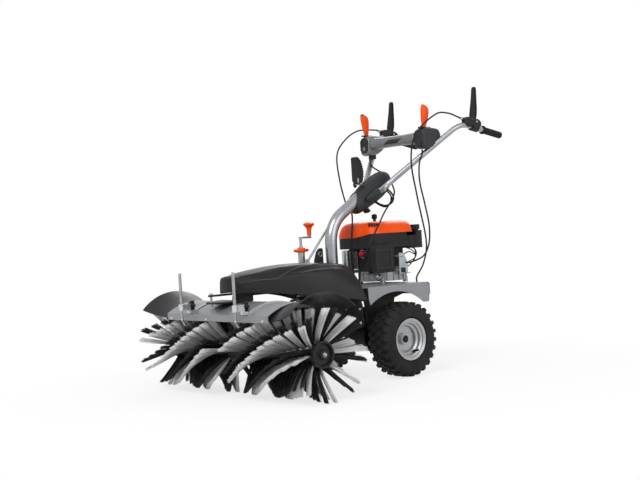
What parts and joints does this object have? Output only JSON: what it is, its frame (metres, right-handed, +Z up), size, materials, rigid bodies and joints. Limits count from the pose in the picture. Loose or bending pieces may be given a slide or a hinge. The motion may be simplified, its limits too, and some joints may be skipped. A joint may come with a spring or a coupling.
{
  "type": "power brush sweeper",
  "caption": "Walk-behind engine brush sweeper: helical bristle brush under a silver hood, swivel head, drive wheels, bent column and handlebar with levers.",
  "frame": {"origin": "ground point under the middle of the machine's bounding box", "axes": "+Z up, +Y toward the handlebar and grips, +X to the machine's left; the brush points along -Y"},
  "size_m": [1.0534, 1.4969, 1.2315],
  "materials": {
    "silver_paint": "satin silver powder coat",
    "black_paint": "satin black powder coat",
    "black_moulding": "moulded black plastic",
    "casting": "bare aluminium casting",
    "tube_steel": "silver lacquered tube",
    "dark_cover": "grained dark grey plastic",
    "zinc": "zinc plated steel",
    "orange_moulding": "orange plastic",
    "exhaust": "bright steel exhaust can",
    "black_rubber": "black rubber",
    "tyre": "tyre rubber",
    "shaft_steel": "turned steel",
    "pulley_iron": "cast pulley",
    "white_bristle": "white bristle tufts",
    "black_bristle": "black bristle tufts",
    "console_grey": "grey and black moulded plastic",
    "red_rubber": "red primer bulb"
  },
  "bodies": {
    "chassis": {"deck": "silver_paint", "main_frame": "black_paint", "bonnet": "black_moulding", "transaxle": "casting", "column": "tube_steel", "column_brace": "tube_steel", "joint_cover": "dark_cover", "jack_tube": "zinc", "crankcase": "casting", "fuel_tank": "black_moulding", "engine_cowl": "orange_moulding", "muffler": "exhaust", "air_filter": "black_moulding", "governor_bracket": "zinc", "frame_bolts": "zinc", "drive_belts": "black_rubber", "clutch_cables": "black_rubber", "throttle_cables": "black_rubber"},
    "wheel_left": {"tyre_left": "tyre", "rim_left": "zinc", "half_shaft_left": "shaft_steel"},
    "wheel_right": {"tyre_right": "tyre", "rim_right": "zinc", "half_shaft_right": "shaft_steel"},
    "brush_head": {"hood": "silver_paint", "mudguard_left": "black_moulding", "mudguard_right": "black_moulding", "brush_gearbox": "black_paint", "rod_clamps": "zinc", "head_bolts": "zinc"},
    "brush_drive": {"input_shaft": "shaft_steel", "brush_pulley": "pulley_iron"},
    "brush": {"brush_shaft": "shaft_steel", "brush_core": "black_moulding", "bristles_white": "white_bristle", "bristles_black": "black_bristle"},
    "rod_left": {"accessory_rod_left": "zinc"},
    "rod_right": {"accessory_rod_right": "zinc"},
    "star_left": {"star_knob_left": "black_rubber"},
    "star_right": {"star_knob_right": "black_rubber"},
    "crank": {"crank_arm": "zinc"},
    "crank_grip": {"crank_knob": "orange_moulding"},
    "jack_foot": {"jack_leg": "zinc"},
    "support": {"support_wheel": "tyre"},
    "counter": {"countershaft": "shaft_steel"},
    "engine_shaft": {"crankshaft": "shaft_steel"},
    "handlebar": {"handle_tube_left": "tube_steel", "handle_tube_right": "tube_steel", "handle_grips": "black_rubber", "lever_brackets": "black_moulding", "console": "console_grey"},
    "lever_left": {"clutch_lever_left": "black_moulding"},
    "lever_right": {"clutch_lever_right": "black_moulding"},
    "stick_left": {"control_lever_left": "orange_moulding"},
    "stick_right": {"control_lever_right": "orange_moulding"},
    "lock": {"lock_lever": "black_moulding"},
    "cap": {"fuel_cap": "black_moulding"},
    "cowl_screw": {"cowl_knob": "black_moulding"},
    "primer": {"primer_button": "red_rubber"},
    "starter": {"starter_pull": "black_moulding"}
  },
  "joints": [
    {"name": "wheel_left_spin", "type": "hinge", "parent": "chassis", "child": "wheel_left", "pos_m": [0.244, 0.07052, 0.1575], "axis": [1, 0, 0], "continuous": true},
    {"name": "wheel_right_spin", "type": "hinge", "parent": "chassis", "child": "wheel_right", "pos_m": [-0.244, 0.07052, 0.1575], "axis": [1, 0, 0], "continuous": true},
    {"name": "head_swivel", "type": "hinge", "parent": "chassis", "child": "brush_head", "pos_m": [0, -0.56548, 0.41], "axis": [0, 0, 1], "range_deg": [-15, 15]},
    {"name": "brush_spin", "type": "hinge", "parent": "brush_head", "child": "brush", "pos_m": [0, -0.56548, 0.175], "axis": [1, 0, 0], "continuous": true},
    {"name": "drive_spin", "type": "hinge", "parent": "brush_head", "child": "brush_drive", "pos_m": [0, -0.56548, 0.3], "axis": [0, 0, 1], "continuous": true},
    {"name": "rod_left_slide", "type": "slide", "parent": "brush_head", "child": "rod_left", "axis": [0, 0, 1], "range_m": [0, 0.03]},
    {"name": "rod_right_slide", "type": "slide", "parent": "brush_head", "child": "rod_right", "axis": [0, 0, 1], "range_m": [0, 0.03]},
    {"name": "star_left_turn", "type": "hinge", "parent": "brush_head", "child": "star_left", "pos_m": [0.18, -0.70548, 0.35909], "axis": [0, 1, 0], "range_deg": [-180, 180]},
    {"name": "star_right_turn", "type": "hinge", "parent": "brush_head", "child": "star_right", "pos_m": [-0.18, -0.70548, 0.35909], "axis": [0, 1, 0], "range_deg": [-180, 180]},
    {"name": "crank_turn", "type": "hinge", "parent": "chassis", "child": "crank", "pos_m": [-0.095, -0.17148, 0.6], "axis": [0, 0, 1], "range_deg": [0, 4320]},
    {"name": "jack_slide", "type": "slide", "parent": "chassis", "child": "jack_foot", "axis": [0, 0, 1], "range_m": [0, 0.06]},
    {"name": "crank_grip_spin", "type": "hinge", "parent": "crank", "child": "crank_grip", "pos_m": [-0.095, -0.12148, 0.64], "axis": [0, 0, 1], "continuous": true},
    {"name": "support_spin", "type": "hinge", "parent": "jack_foot", "child": "support", "pos_m": [-0.095, -0.17148, 0.05], "axis": [1, 0, 0], "continuous": true},
    {"name": "counter_spin", "type": "hinge", "parent": "chassis", "child": "counter", "pos_m": [0, -0.21548, 0.41], "axis": [0, 0, 1], "continuous": true},
    {"name": "engine_spin", "type": "hinge", "parent": "chassis", "child": "engine_shaft", "pos_m": [0, 0.20952, 0.45], "axis": [0, 0, 1], "continuous": true},
    {"name": "handlebar_tilt", "type": "hinge", "parent": "chassis", "child": "handlebar", "pos_m": [0, 0.17252, 0.794], "axis": [1, 0, 0], "range_deg": [-15, 20], "deforming": ["clutch_cables", "throttle_cables"]},
    {"name": "lever_left_squeeze", "type": "hinge", "parent": "handlebar", "child": "lever_left", "pos_m": [0.26305, 0.57482, 1.07443], "axis": [-1, 0, 0], "range_deg": [0, 82], "stiffness_Nm_per_rad": 0.4},
    {"name": "lever_right_squeeze", "type": "hinge", "parent": "handlebar", "child": "lever_right", "pos_m": [-0.26305, 0.57482, 1.07443], "axis": [-1, 0, 0], "range_deg": [0, 82], "stiffness_Nm_per_rad": 0.4},
    {"name": "stick_left_swing", "type": "hinge", "parent": "handlebar", "child": "stick_left", "pos_m": [0.182, 0.33652, 1.04318], "axis": [1, 0, 0], "range_deg": [-25, 25]},
    {"name": "stick_right_swing", "type": "hinge", "parent": "handlebar", "child": "stick_right", "pos_m": [-0.182, 0.33652, 1.04318], "axis": [1, 0, 0], "range_deg": [-25, 25]},
    {"name": "lock_swing", "type": "hinge", "parent": "chassis", "child": "lock", "pos_m": [0, 0.09173, 0.8224], "axis": [-1, 0, 0], "range_deg": [0, 28]},
    {"name": "fuel_cap_turn", "type": "hinge", "parent": "chassis", "child": "cap", "pos_m": [0.084, 0.34152, 0.62], "axis": [0, 0, 1], "range_deg": [0, 90]},
    {"name": "cowl_knob_turn", "type": "hinge", "parent": "chassis", "child": "cowl_screw", "pos_m": [0, 0.17952, 0.656], "axis": [0, 0, 1], "range_deg": [0, 180]},
    {"name": "primer_push", "type": "slide", "parent": "chassis", "child": "primer", "axis": [0, 1, 0], "range_m": [0, 0.006], "stiffness_N_per_m": 200},
    {"name": "starter_slide", "type": "slide", "parent": "chassis", "child": "starter", "axis": [-1, 0, 0], "range_m": [0, 0.17], "stiffness_N_per_m": 30}
  ],
  "couplings": [
    {"joint": "drive_spin", "follows": "brush_spin", "ratio": 1},
    {"joint": "jack_slide", "follows": "crank_turn", "m_per_rad": 0.00079577}
  ]
}
